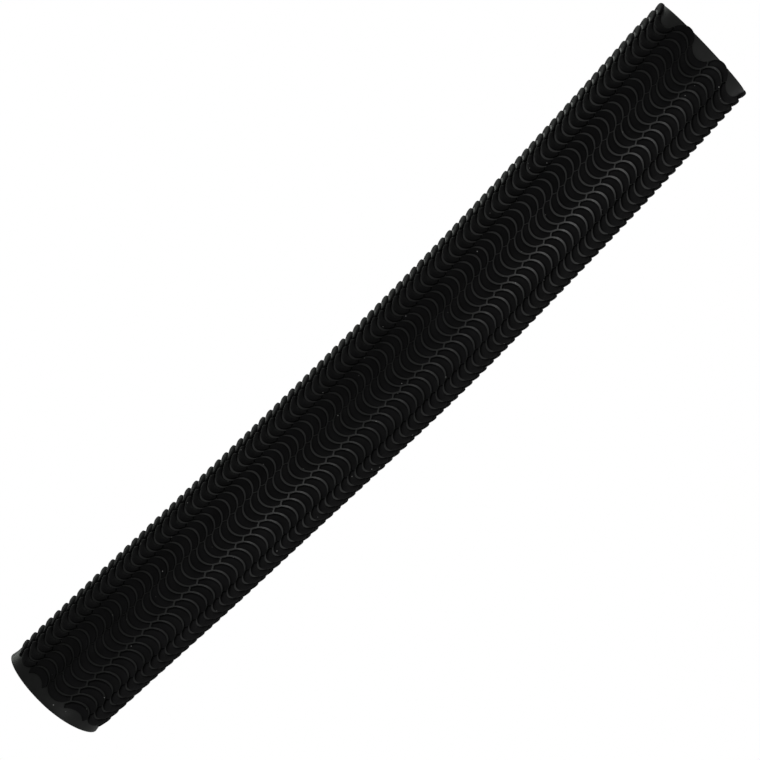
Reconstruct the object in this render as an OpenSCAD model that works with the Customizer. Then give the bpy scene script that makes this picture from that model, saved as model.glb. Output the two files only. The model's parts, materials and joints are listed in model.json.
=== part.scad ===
// Ribbed rubber handle sleeve: a tapered open tube with columns of raised crescent pads.
// The bore runs along +Z, the narrow end is at z = 0, and millimetres are used throughout.

/* [Sleeve] */
// Length of the sleeve along its bore
sleeve_length = 300; // [280:1:330]
// Outside diameter of the tube under the pads, at the narrow end
narrow_od = 36; // [34:0.1:37]
// Outside diameter of the tube under the pads, at the wide end
wide_od = 39.2; // [37:0.1:42]
// Thickness of the tube's wall in the plain bands
wall = 1.7; // [1.4:0.1:2.5]
// Length of the straight stretch of bore at each end
mouth_length = 12; // [4:1:30]

/* [Pads] */
// Number of lengthwise columns of pads, which bulge alternately up and down
column_count = 12; // [12:2:14]
// Number of pads in an even column; the odd columns lie half a row further on and have one fewer
row_count = 88; // [60:1:88]
// How much wider than the mean the rows are spaced at the narrow end of the sleeve
row_stretch = 0.075; // [0:0.005:0.1]
// Height of a pad above the tube
pad_height = 0.8; // [0.4:0.1:1.2]
// Thickness of a pad along the sleeve, as a share of the row pitch
pad_share = 0.76; // [0.6:0.01:0.8]
// How far a pad bulges from its two ends to its crest
pad_rise = 1.95; // [1.5:0.05:2.2]
// How far the zigzag seam between two columns swings to either side of its middle
seam_swing = 0.5; // [0.4:0.05:0.6]
// Width of the seam's groove, measured round the sleeve
seam_gap = 0.6; // [0.5:0.05:0.8]
// Distance from the narrow end to the ends of the first even row's pads
first_row = 5; // [4.5:0.1:20]
// Distance from the ends of the last even row's pads to the wide end
last_row = 3; // [2.5:0.1:20]
// Smallest distance from a pad to the wide end, where the last row's crests are trimmed
rim_land = 0.4; // [0.2:0.1:1]

/* [Facing] */
// Angle of the first column's middle about the bore, from -Y towards +X
facing = 2; // [0:0.5:25]

/* [Hidden] */
COLUMNS = [for (c = [1:column_count]) str("pad_column_", c < 10 ? "0" : "", c)];
$fn = 64;
tube_fn = 180; // facets that draw the tube

tube_r1 = narrow_od / 2; // tube's outer radius at the narrow end
tube_r2 = wide_od / 2; // tube's outer radius at the wide end
bore_r1 = tube_r1 - wall;
bore_r2 = tube_r2 - wall;
column_angle = 360 / column_count;
row_span = sleeve_length - first_row - last_row;
row_pitch = row_span / (row_count - 1); // mean distance between two rows
pad_thickness = pad_share * row_pitch;
tip_slope = row_pitch / 4 / seam_swing; // slope of the seam, along the sleeve over round it
overrun = 1; // how far a cutting tool runs past what it cuts

// Each column of pads is seated on a narrow flat that follows the tube's taper
land_angle = 1.2; // angle of round tube left between two flats
flat_half_angle = (column_angle - land_angle) / 2;
flat_r1 = tube_r1 * cos(flat_half_angle); // distance of a flat from the bore's axis
flat_r2 = tube_r2 * cos(flat_half_angle);
flat_lean = atan((flat_r2 - flat_r1) / sleeve_length);
crest_reach = pad_rise + pad_thickness / 2; // how far a pad's crest lies from its ends
flat_margin = 0.3; // how far a flat runs past its first and last pads
flat_start = first_row + row_pitch / 2 - crest_reach - flat_margin;
flat_end = sleeve_length;

// Distance of a flat from the bore's axis, at a height along the sleeve
function flat_r(z) = flat_r1 + (flat_r2 - flat_r1) * z / sleeve_length;

// Height of a row's pad ends: a gentle cubic spaces the rows wider towards the narrow end
function row_z(i) =
  let (u = i / (row_count - 1))
  first_row + row_span * (u + row_stretch * u * pow(1 - u, 2));

// Half the width of a column of pads at a height, measured in its flat at half the pads' height
function half_width(z) = (flat_r(z) + pad_height / 2) * tan(column_angle / 2);

// Radius of the arc through a pad's two ends and its crest, over half the pad's width
function arc_r(half) = (half * half + pad_rise * pad_rise) / (2 * pad_rise);

// Puts its children on a column's flat: X out of the flat, Y across it and Z up the sleeve
module on_flat(c) {
  rotate([0, 0, facing + (c - 1) * column_angle - 90])
    translate([flat_r1, 0, 0])
      rotate([0, flat_lean, 0])
        children();
}

// The tube: one tapered wall with a straight stretch of bore at each mouth
module base_sleeve() {
  flat_width = wide_od * sin(column_angle / 2);
  color("#2b2c2b")
  difference() {
    cylinder(r1 = tube_r1, r2 = tube_r2, h = sleeve_length, $fn = tube_fn);
    translate([0, 0, -overrun])
      cylinder(r = bore_r1, h = mouth_length + overrun, $fn = tube_fn);
    translate([0, 0, mouth_length])
      cylinder(r1 = bore_r1, r2 = bore_r2, h = sleeve_length - 2 * mouth_length,
        $fn = tube_fn);
    translate([0, 0, sleeve_length - mouth_length])
      cylinder(r = bore_r2, h = mouth_length + overrun, $fn = tube_fn);
    for (c = [1:column_count])
      on_flat(c)
        translate([0, -flat_width / 2, flat_start])
          cube([overrun, flat_width, flat_end - flat_start]);
  }
}

// A pad's outline: a rib between two equal arcs, with pointed ends that fit a zigzag seam.
// Its crest points up the page, its two points lie on y = 0, and it stops at a ceiling.
module pad_outline(half, ceiling) {
  r = arc_r(half - seam_swing);
  tip = half + seam_swing - seam_gap / 2;
  top = min(tip_slope * tip / 2 + crest_reach / 2, ceiling);
  shoulder = tip - top / tip_slope;
  intersection() {
    translate([0, pad_rise - r])
      difference() {
        translate([0, pad_thickness / 2]) circle(r = r);
        translate([0, -pad_thickness / 2]) circle(r = r);
      }
    polygon([[0, -tip_slope * tip], [tip, 0], [shoulder, top], [-shoulder, top], [-tip, 0]]);
  }
}

// One column of pads. Even columns bulge towards the wide end; odd ones bulge towards the
// narrow end and lie half a row further on.
module pad_column(c) {
  crest_up = c % 2 == 0;
  step = crest_up ? 0 : 0.5;
  color(crest_up ? "#161716" : "#1b1c1b")
  on_flat(c)
    for (i = [0:row_count - 1 - 2 * step]) {
      z = row_z(i + step);
      room = crest_up ? sleeve_length - z : z;
      translate([0, 0, z])
        rotate([90, 0, 90])
          mirror([0, crest_up ? 0 : 1, 0])
            linear_extrude(pad_height)
              pad_outline(half_width(z), room - rim_land);
    }
}

base_sleeve();
for (c = [1:column_count]) {
  pad_column(c);
}
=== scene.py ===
"""Ribbed rubber handle sleeve: an open, slightly tapered tube with columns of raised crescent pads."""

import json
import math

import bpy
import numpy as np
from mathutils import Matrix, Vector


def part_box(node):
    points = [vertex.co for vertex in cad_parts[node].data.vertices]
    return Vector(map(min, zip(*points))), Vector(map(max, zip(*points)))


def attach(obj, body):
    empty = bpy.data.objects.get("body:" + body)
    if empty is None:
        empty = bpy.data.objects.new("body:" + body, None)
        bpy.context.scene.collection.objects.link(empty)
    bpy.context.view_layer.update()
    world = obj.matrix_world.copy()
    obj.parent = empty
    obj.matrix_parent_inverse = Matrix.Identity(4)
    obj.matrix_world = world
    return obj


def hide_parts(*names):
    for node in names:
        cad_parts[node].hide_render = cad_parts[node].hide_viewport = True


MM = 0.001

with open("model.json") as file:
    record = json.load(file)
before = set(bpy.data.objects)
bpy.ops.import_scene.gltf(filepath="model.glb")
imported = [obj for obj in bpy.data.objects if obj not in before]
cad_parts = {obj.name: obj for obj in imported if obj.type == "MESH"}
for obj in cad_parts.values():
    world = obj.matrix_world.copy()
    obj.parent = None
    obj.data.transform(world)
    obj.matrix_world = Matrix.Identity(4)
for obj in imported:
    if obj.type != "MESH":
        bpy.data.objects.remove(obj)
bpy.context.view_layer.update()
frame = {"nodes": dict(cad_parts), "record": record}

# ---------------------------------------------------------------- sizes from the frame

mouths = {m["name"]: m["dims"]["r_mm"] * MM for m in frame["record"]["mounts"] if m["kind"] == "bore"}
columns = sorted(n for n in frame["nodes"] if n.startswith("pad_column_"))
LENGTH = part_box("base_sleeve")[1].z
WALL = 1.7 * MM
TUBE_R1 = mouths["narrow_mouth"] + WALL  # under the pads, at the narrow end
TUBE_R2 = mouths["wide_mouth"] + WALL  # under the pads, at the wide end
COLUMN_ANGLE = 2 * math.pi / len(columns)
FACING = math.radians(2.0)  # the first column's middle, from -Y towards +X

# ---------------------------------------------------------------- how the soft sleeve lies

BOW = 4.26 * MM  # how far the middle of the sleeve bows towards +X
BOW_SKEW = 1.23 * MM  # how much further it bows on the wide end's side
BOW_FLAT = -0.87 * MM  # negative where the bow is rounder than a parabola
SIDE_STRETCH = 0.45 * MM  # how much further each end reaches on the -X side than on the axis
LIE_PLACES = [0, 0.5, 1]  # the narrow end, the middle and the wide end, where the next two lists hold
SQUASH = np.radians([6.3, 9.0, 8.5])  # how far the oval lie of the tube draws its columns to the front
SQUASH_OVERTONE = 0.12  # share of that which repeats at twice the rate round the sleeve
SLACK = np.radians([5.9, 5.0, 0])  # how much further the columns spread round on the +X side
SLACK_PLACE = math.radians(45)
SLACK_SPREAD = math.radians(27)
CREEP = math.radians(5.5)  # how far the columns have crept round on the -X side, all along
CREEP_PLACE = math.radians(-78)
CREEP_SPREAD = math.radians(24)
SWELL = 0.3 * MM  # how much fuller the sleeve lies on the +X side
SWELL_BUMPS = [(0.45 * MM, 0.56, 0.13), (0.2 * MM, 0.2, 0.09)]  # and further at (height, place, spread)
NIP = 0.8 * MM  # how far the wide end curls in on the -X side
NIP_LENGTH = 14 * MM
NIP_POWER = 1.5  # how late in that length it curls
DRAW_RIGHT = 1.4 * MM  # how far the narrow rim is drawn back on the +X side
DRAW_LEFT = 0.5 * MM  # and on the -X side
DRAW_LENGTH = 4 * MM
FLARE = 0.45 * MM  # how far the narrow rim flares out
FLARE_LENGTH = 2.2 * MM
RIM_ROUND = 0.45 * MM  # radius of the rims' edges

# ---------------------------------------------------------------- pads

ROWS = 88  # in a column that bulges to the wide end
ROW_SHIFT = 0.56  # how many rows further on the other columns lie; they have one pad fewer
FIRST_ROW = 5.0 * MM  # height of the first row's pad ends
LAST_ROW = LENGTH - 3.0 * MM  # height of the last row's pad ends
ROW_STRETCH = 0.075  # how much wider than the mean the rows are spaced at the narrow end
PAD_HEIGHT = 0.82 * MM
PAD_RISE = 1.95 * MM  # from a pad's ends to its crest
SEAM_SWING = 0.5 * MM  # how far the zigzag seam between two columns swings from its middle
SEAM_GROOVE = 0.56 * MM  # width of the seam's groove, round the sleeve
SEAM_BROAD = 0.3 * MM  # how much broader the seam between the first two columns is
GROOVE = 0.84 * MM  # along the sleeve, between two pads of a column
ARC_REACH = 0.93  # share of an arc's radius at which its fall to the side is held
POINT_START = 0.86  # share of the half rib after which a pad is lower towards its point
POINT_HEIGHT = 0.72  # share of its height left at the point
POINT_WIDTH = 0.02 * MM  # least half thickness of a pad, at its point
CREST_WIDTH = 0.07 * MM  # and at its crest

# A pad's section across the rib: (place across it from the narrow side to the wide side, height)
SECTION = np.array([
    (-1.10, -0.43), (-1.07, 0.02), (-0.98, 0.34), (-0.84, 0.58), (-0.58, 0.77), (-0.22, 0.90),
    (0.15, 0.985), (0.45, 1.0), (0.72, 0.90), (0.90, 0.64), (1.0, 0.32), (1.07, 0.02), (1.10, -0.43),
])
# Stations along the half rib, from its crest to its point
HALF_STATIONS = np.array([0, 0.16, 0.32, 0.47, 0.6, 0.7, 0.78, 0.85, 0.9, 0.94, 0.97, 1.0])


def tube_radius(z):
    """Outer radius of the tube under the pads."""
    return TUBE_R1 + (TUBE_R2 - TUBE_R1) * z / LENGTH


def axis_offset(z):
    """How far the sleeve's axis stands off +Z towards +X."""
    t = z / LENGTH
    s = 2 * t - 1
    return 4 * t * (1 - t) * (BOW + BOW_SKEW * s + BOW_FLAT * s * s)


def drawn_round(theta, z):
    """The angle at which a place on the even sleeve comes to lie: its columns aren't evenly spread."""
    turned = (theta + math.pi) % (2 * math.pi) - math.pi
    t = z / LENGTH
    squash = np.interp(t, LIE_PLACES, SQUASH)
    pull = np.sin(2 * theta) - SQUASH_OVERTONE * np.sin(4 * theta)
    slack = np.interp(t, LIE_PLACES, SLACK) * np.exp(-(((turned - SLACK_PLACE) / SLACK_SPREAD) ** 2))
    creep = CREEP * np.exp(-(((turned - CREEP_PLACE) / CREEP_SPREAD) ** 2))
    return theta - squash * pull + slack + creep


def on_sleeve(theta, z, radius):
    """Points at an angle from -Y towards +X, a height and a radius, on the sleeve as it lies."""
    side = np.sin(theta)
    swell = SWELL + sum(h * np.exp(-(((z / LENGTH - p) / w) ** 2)) for h, p, w in SWELL_BUMPS)
    nip = NIP * np.clip((z - LENGTH + NIP_LENGTH) / NIP_LENGTH, 0, 1) ** NIP_POWER
    x = axis_offset(z) + radius * side + swell * (1 + side) / 2 + nip * (1 - side) / 2
    y = -radius * np.cos(theta)
    lean = SIDE_STRETCH * (2 * z / LENGTH - 1) * side
    draw = np.where(side > 0, DRAW_RIGHT, DRAW_LEFT) * side**2 * np.exp(-z / DRAW_LENGTH)
    return np.stack([x, y, z - lean + draw], axis=-1)


def add_mesh(name, points, faces, material, smooth=True):
    """A mesh object from an array of points and a list of faces."""
    mesh = bpy.data.meshes.new(name)
    mesh.from_pydata(points.reshape(-1, 3).tolist(), [], faces)
    mesh.polygons.foreach_set("use_smooth", [smooth] * len(mesh.polygons))
    mesh.materials.append(material)
    mesh.update()
    piece = bpy.data.objects.new(name, mesh)
    bpy.context.scene.collection.objects.link(piece)
    return piece


# ---------------------------------------------------------------- materials


def new_material(name):
    """An empty node material with a Principled shader: (material, nodes, links, shader)."""
    material = bpy.data.materials.new(name)
    material.use_nodes = True
    tree = material.node_tree
    return material, tree.nodes, tree.links, tree.nodes["Principled BSDF"]


def noise(nodes, links, coordinates, scale, detail=3.0, roughness=0.5):
    """A noise texture on the given coordinates."""
    node = nodes.new("ShaderNodeTexNoise")
    node.inputs["Scale"].default_value = scale
    node.inputs["Detail"].default_value = detail
    node.inputs["Roughness"].default_value = roughness
    links.new(coordinates, node.inputs["Vector"])
    return node.outputs["Fac"]


def ramp(nodes, links, value, stops):
    """A colour ramp through (place, grey or colour) stops."""
    node = nodes.new("ShaderNodeValToRGB")
    elements = node.color_ramp.elements
    while len(elements) < len(stops):
        elements.new(0.5)
    for element, (place, grey) in zip(elements, stops):
        element.position = place
        element.color = (grey, grey, grey, 1) if isinstance(grey, (int, float)) else (*grey, 1)
    links.new(value, node.inputs["Fac"])
    return node.outputs["Color"]


def rubber(name, dark, light, speck_colour, roughness, grain, gloss):
    """Black moulded rubber: a mottled tone, a fine grain and a few tiny light specks.

    gloss is a list of (share of the sleeve's length, level) stops.
    """
    material, nodes, links, shader = new_material(name)
    place = nodes.new("ShaderNodeTexCoord").outputs["Object"]

    mottle = noise(nodes, links, place, 160, 4)
    tone = ramp(nodes, links, mottle, [(0.35, dark), (0.7, light)])

    # tiny sparse light specks
    cells = nodes.new("ShaderNodeTexVoronoi")
    cells.inputs["Scale"].default_value = 700
    links.new(place, cells.inputs["Vector"])
    speck = ramp(nodes, links, cells.outputs["Distance"], [(0.0, 1.0), (0.16, 0.0)])
    chosen = nodes.new("ShaderNodeSeparateColor")
    links.new(cells.outputs["Color"], chosen.inputs["Color"])
    rare = ramp(nodes, links, chosen.outputs["Red"], [(0.972, 0.0), (0.977, 1.0)])
    amount = nodes.new("ShaderNodeMath")
    amount.operation = "MULTIPLY"
    links.new(speck, amount.inputs[0])
    links.new(rare, amount.inputs[1])
    mix = nodes.new("ShaderNodeMix")
    mix.data_type = "RGBA"
    links.new(amount.outputs["Value"], mix.inputs["Factor"])
    links.new(tone, mix.inputs["A"])
    # light grey colour of the specks
    mix.inputs["B"].default_value = (*speck_colour, 1)
    links.new(mix.outputs["Result"], shader.inputs["Base Color"])

    uneven = noise(nodes, links, place, 900, 2)
    links.new(
        ramp(nodes, links, uneven, [(0.3, roughness - 0.06), (0.7, roughness + 0.06)]),
        shader.inputs["Roughness"],
    )
    fine = noise(nodes, links, place, 2600, 3, 0.6)
    bump = nodes.new("ShaderNodeBump")
    bump.inputs["Strength"].default_value = grain
    bump.inputs["Distance"].default_value = 0.05 * MM
    links.new(fine, bump.inputs["Height"])
    links.new(bump.outputs["Normal"], shader.inputs["Normal"])
    apart = nodes.new("ShaderNodeSeparateXYZ")
    links.new(place, apart.inputs["Vector"])
    share = nodes.new("ShaderNodeMapRange")
    share.inputs["From Max"].default_value = LENGTH
    links.new(apart.outputs["Z"], share.inputs["Value"])
    links.new(ramp(nodes, links, share.outputs["Result"], gloss), shader.inputs["Specular IOR Level"])
    return material


SLEEVE_GLOSS = [(0.0, 0.15), (0.12, 0.20), (0.22, 0.45), (0.34, 0.75), (0.46, 0.32), (0.60, 0.35),
                (0.74, 0.85), (0.87, 0.80), (0.96, 0.25)]
PAD_GLOSS = [(0.0, 0.10), (1.0, 0.10)]
SLEEVE_RUBBER = rubber("sleeve_rubber", (0.022, 0.023, 0.022), (0.034, 0.035, 0.034),
                       (0.8, 0.8, 0.78), 0.36, 0.35, SLEEVE_GLOSS)
PAD_RUBBER = rubber("pad_rubber", (0.0066, 0.0066, 0.0069), (0.0108, 0.0108, 0.0113),
                    (0.8, 0.8, 0.78), 0.60, 0.70, PAD_GLOSS)

# ---------------------------------------------------------------- tube


def quarter(count):
    """Angles of a quarter turn in equal steps, both ends included."""
    return np.linspace(0, math.pi / 2, count)


def tube_profile():
    """The wall's outline as (radius, height) points: up the outside and down the bore."""
    turn = quarter(6)
    outer_z = np.linspace(RIM_ROUND, LENGTH - RIM_ROUND, 121)
    outer_r = tube_radius(outer_z) + FLARE * np.exp(-((outer_z / FLARE_LENGTH) ** 2))
    inner_z = outer_z[::-1]
    inner_r = tube_radius(inner_z) - WALL + FLARE * np.exp(-((inner_z / FLARE_LENGTH) ** 2))
    swing = RIM_ROUND * (1 - np.cos(turn))
    drop = RIM_ROUND * (1 - np.sin(turn))
    top_out = np.stack([outer_r[-1] - swing, LENGTH - drop], -1)[1:]
    top_in = np.stack([inner_r[0] + swing, LENGTH - drop], -1)[:0:-1]
    low_in = np.stack([inner_r[-1] + swing, drop], -1)[1:]
    low_out = np.stack([outer_r[0] - swing, drop], -1)[:0:-1]
    outside = np.stack([outer_r, outer_z], -1)
    inside = np.stack([inner_r, inner_z], -1)
    return np.concatenate([outside, top_out, top_in, inside, low_in, low_out])


def make_tube(segments=240):
    """The tapered tube with rounded rims and an open bore."""
    profile = tube_profile()
    count = len(profile)
    theta = np.linspace(0, 2 * math.pi, segments, endpoint=False)
    points = on_sleeve(theta[:, None], profile[None, :, 1], profile[None, :, 0])
    faces = []
    for i in range(segments):
        here = i * count
        there = (i + 1) % segments * count
        for j in range(count):
            k = (j + 1) % count
            faces.append((here + j, there + j, there + k, here + k))
    tube = add_mesh("base_sleeve_rubber", points, faces, SLEEVE_RUBBER)
    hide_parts("base_sleeve")
    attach(tube, "root")


# ---------------------------------------------------------------- pads on the tube


def row_heights(bulge):
    """Height of each pad's ends in a column; the rows are spaced wider towards the narrow end."""
    row = np.arange(ROWS, dtype=float) if bulge > 0 else np.arange(ROWS - 1) + ROW_SHIFT
    u = row / (ROWS - 1)
    return FIRST_ROW + (LAST_ROW - FIRST_ROW) * (u + ROW_STRETCH * u * (1 - u) ** 2)


def pad_rows(bulge, broad):
    """Every pad of a column laid flat: (across, along, height) with axes row, station, section.

    broad is 1 or -1 if the seam on that side of the column is a broad one, or else 0.
    """
    z = row_heights(bulge)[:, None]
    half = tube_radius(z) * COLUMN_ANGLE / 2
    pitch = np.gradient(row_heights(bulge))[:, None]
    inner = half - SEAM_SWING
    arc = (inner**2 + PAD_RISE**2) / (2 * PAD_RISE)
    slope = pitch / 4 / SEAM_SWING
    u = np.concatenate([-HALF_STATIONS[:0:-1], HALF_STATIONS])
    seam_groove = SEAM_GROOVE + np.where(u * broad > 0, SEAM_BROAD, 0)
    tip = half + SEAM_SWING - seam_groove[None, :] / 2
    across = tip * u
    centre = PAD_RISE - arc + np.sqrt(arc**2 - np.minimum(np.abs(across), ARC_REACH * arc) ** 2)
    high = centre + (pitch - GROOVE) / 2
    low = centre - (pitch - GROOVE) / 2
    seam = slope * (tip - np.abs(across))
    high = np.minimum(high, seam)
    low = np.minimum(np.maximum(low, -seam), high)
    blunt = POINT_WIDTH + (CREST_WIDTH - POINT_WIDTH) * (1 - np.abs(u))[None, :]
    middle = (high + low) / 2
    thick = np.maximum((high - low) / 2, blunt)
    along = middle[..., None] + thick[..., None] * SECTION[:, 0]
    end = np.clip((np.abs(u) - POINT_START) / (1 - POINT_START), 0, 1)
    lowering = POINT_HEIGHT + (1 - POINT_HEIGHT) * np.sqrt(1 - end**2)
    height = np.where(
        SECTION[:, 1] > 0,
        SECTION[:, 1] * PAD_HEIGHT * lowering[None, :, None],
        SECTION[:, 1] * PAD_HEIGHT,
    )
    across = np.broadcast_to(across[..., None], along.shape)
    return across, z[..., None] + bulge * along, np.broadcast_to(height, along.shape)


def pad_faces(stations, ring):
    """Faces of one closed pad: its skin, its underside and its two end caps."""
    faces = []
    for s in range(stations - 1):
        for k in range(ring):
            n = (k + 1) % ring
            faces.append((s * ring + k, s * ring + n, (s + 1) * ring + n, (s + 1) * ring + k))
    last = (stations - 1) * ring
    faces.append(tuple(range(ring - 1, -1, -1)))
    faces.append(tuple(range(last, last + ring)))
    return faces


def make_pad_column(name, theta, bulge, broad):
    """One column of pads; bulge is 1 towards the wide end and -1 towards the narrow end."""
    across, along, height = pad_rows(bulge, broad)
    radius = tube_radius(along)
    points = on_sleeve(drawn_round(theta + across / radius, along), along, radius + height)
    rows, stations, ring = across.shape
    one = pad_faces(stations, ring)
    if bulge < 0:
        one = [tuple(reversed(f)) for f in one]
    step = stations * ring
    faces = [tuple(r * step + v for v in f) for r in range(rows) for f in one]
    pads = add_mesh(name + "_rubber", points, faces, PAD_RUBBER)
    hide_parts(name)
    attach(pads, "root")


make_tube()
for number, column in enumerate(columns):
    bulge = -1 if number % 2 == 0 else 1
    broad = {0: 1, 1: -1}.get(number, 0)  # the broad seam lies between the first two columns
    make_pad_column(column, FACING + number * COLUMN_ANGLE, bulge, broad)

# ---------------------------------------------------------------- floor, light and camera


def make_floor():
    """A plain white floor, lit evenly like a light table, so that it carries no shadow."""
    material, nodes, links, shader = new_material("floor_white")
    nodes.remove(shader)
    glow = nodes.new("ShaderNodeEmission")
    glow.inputs["Color"].default_value = (1, 1, 1, 1)
    links.new(glow.outputs["Emission"], nodes["Material Output"].inputs["Surface"])
    side = 6.0
    corners = np.array([(-side, -side, 0), (side, -side, 0), (side, side, 0), (-side, side, 0)])
    floor = add_mesh("floor", corners, [(0, 1, 2, 3)], material, smooth=False)
    floor.location.z = -0.6 * MM
    floor.visible_diffuse = False
    floor.visible_glossy = False
    floor.visible_shadow = False


def make_world(ambient):
    """White surroundings that the camera sees in full and that light the sleeve faintly."""
    world = bpy.data.worlds.new("studio")
    world.use_nodes = True
    nodes, links = world.node_tree.nodes, world.node_tree.links
    light_path = nodes.new("ShaderNodeLightPath")
    strength = nodes.new("ShaderNodeMapRange")
    strength.inputs["To Min"].default_value = ambient
    strength.inputs["To Max"].default_value = 1.0
    links.new(light_path.outputs["Is Camera Ray"], strength.inputs["Value"])
    background = nodes["Background"]
    background.inputs["Color"].default_value = (1, 1, 1, 1)
    links.new(strength.outputs["Result"], background.inputs["Strength"])
    bpy.context.scene.world = world


def softbox(name, azimuth, elevation, distance, width, height, power, colour=(1, 1, 1)):
    """A soft area light aimed at the middle of the sleeve; azimuth 0 is the camera's side."""
    centre = Vector((0, 0, LENGTH / 2))
    a, e = math.radians(azimuth), math.radians(elevation)
    towards = Vector((math.sin(a) * math.cos(e), -math.cos(a) * math.cos(e), math.sin(e)))
    data = bpy.data.lights.new(name, "AREA")
    data.shape = "RECTANGLE"
    data.size = width
    data.size_y = height
    data.energy = power
    data.color = colour
    light = bpy.data.objects.new(name, data)
    light.location = centre + towards * distance
    light.rotation_euler = towards.to_track_quat("Z", "Y").to_euler()
    bpy.context.scene.collection.objects.link(light)


def make_camera():
    """The photograph's camera: slightly above the sleeve's middle and rolled so that it lies diagonally."""
    distance = 1007.9 * MM
    elevation = math.radians(4.80)
    roll = math.radians(45.136)
    target = Vector((2.87 * MM, 0, LENGTH / 2 + 0.53 * MM))
    forward = Vector((0, math.cos(elevation), -math.sin(elevation)))
    level = Vector((1, 0, 0))
    upright = Vector((0, math.sin(elevation), math.cos(elevation)))
    right = math.cos(roll) * level + math.sin(roll) * upright
    up = math.cos(roll) * upright - math.sin(roll) * level
    data = bpy.data.cameras.new("camera")
    data.lens = 146.7
    data.sensor_width = 36
    data.clip_start = 0.05
    data.clip_end = 30
    camera = bpy.data.objects.new("camera", data)
    turn = Matrix((right, up, -forward)).transposed()
    camera.matrix_world = Matrix.Translation(target - distance * forward) @ turn.to_4x4()
    bpy.context.scene.collection.objects.link(camera)
    bpy.context.scene.camera = camera


make_floor()
make_world(0.22)
softbox("key_right", 43, 8, 1.3, 0.35, 1.2, 2.3)
softbox("rim_left", -138, 6, 1.2, 0.45, 1.4, 2.4, (0.93, 1.0, 0.92))
make_camera()
bpy.context.scene.view_settings.view_transform = "Standard"
